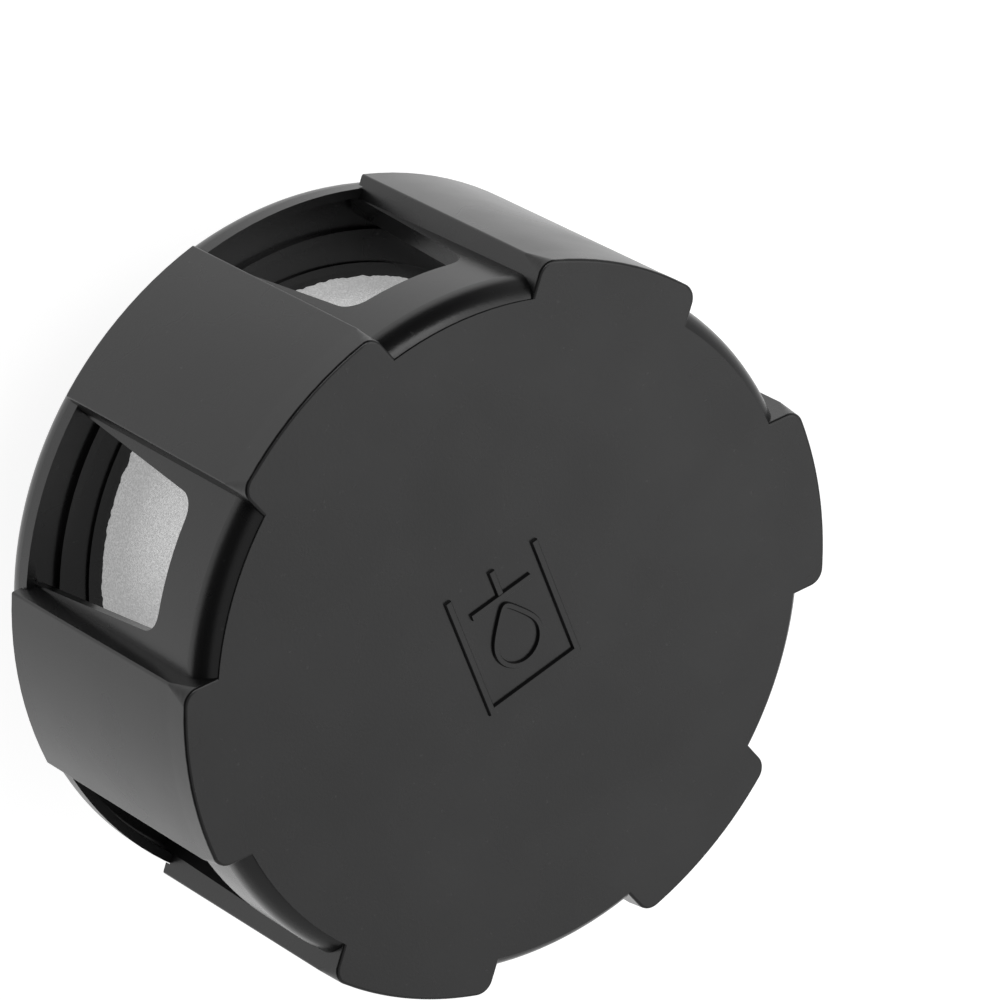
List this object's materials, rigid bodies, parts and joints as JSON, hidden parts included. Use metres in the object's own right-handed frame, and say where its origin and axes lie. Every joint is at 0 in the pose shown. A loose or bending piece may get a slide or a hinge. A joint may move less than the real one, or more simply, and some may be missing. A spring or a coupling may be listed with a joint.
{
  "type": "hydraulic filler breather",
  "caption": "Screw-in ribbed breather cap for a hydraulic tank, with side windows, a foam air filter, a two-way check valve and a splash cup.",
  "frame": {"origin": "centre of the splash cup's flat end, the lowest point of the cap", "axes": "+Z along the screw axis from the threaded neck to the cover's face; +X through the middle of one rib"},
  "size_m": [0.088, 0.0852, 0.057],
  "materials": {
    "moulded_black": "semi-gloss black moulding",
    "valve_plastic": "natural nylon",
    "foam": "open-cell white foam",
    "seal_rubber": "nitrile rubber",
    "spring_steel": "spring wire"
  },
  "bodies": {
    "cap": {"cover": "moulded_black", "base": "moulded_black", "splash_cup": "moulded_black", "filter_foam": "foam", "filter_core": "moulded_black", "valve_housing": "valve_plastic", "housing_gasket": "seal_rubber", "housing_screws": "spring_steel", "pressure_spring": "spring_steel"},
    "pressure_valve": {"pressure_plate": "valve_plastic", "pressure_seal": "seal_rubber", "vacuum_spring": "spring_steel"},
    "vacuum_valve": {"vacuum_flap": "seal_rubber", "vacuum_stem": "valve_plastic", "stem_clip": "spring_steel"}
  },
  "joints": [
    {"name": "pressure_lift", "type": "slide", "parent": "cap", "child": "pressure_valve", "axis": [0, 0, 1], "range_m": [0, 0.003], "stiffness_N_per_m": 600, "springref_m": -0.008, "deforming": ["pressure_spring"]},
    {"name": "vacuum_drop", "type": "slide", "parent": "pressure_valve", "child": "vacuum_valve", "axis": [0, 0, -1], "range_m": [0, 0.0025], "stiffness_N_per_m": 60, "springref_m": -0.004, "deforming": ["vacuum_spring"]}
  ]
}
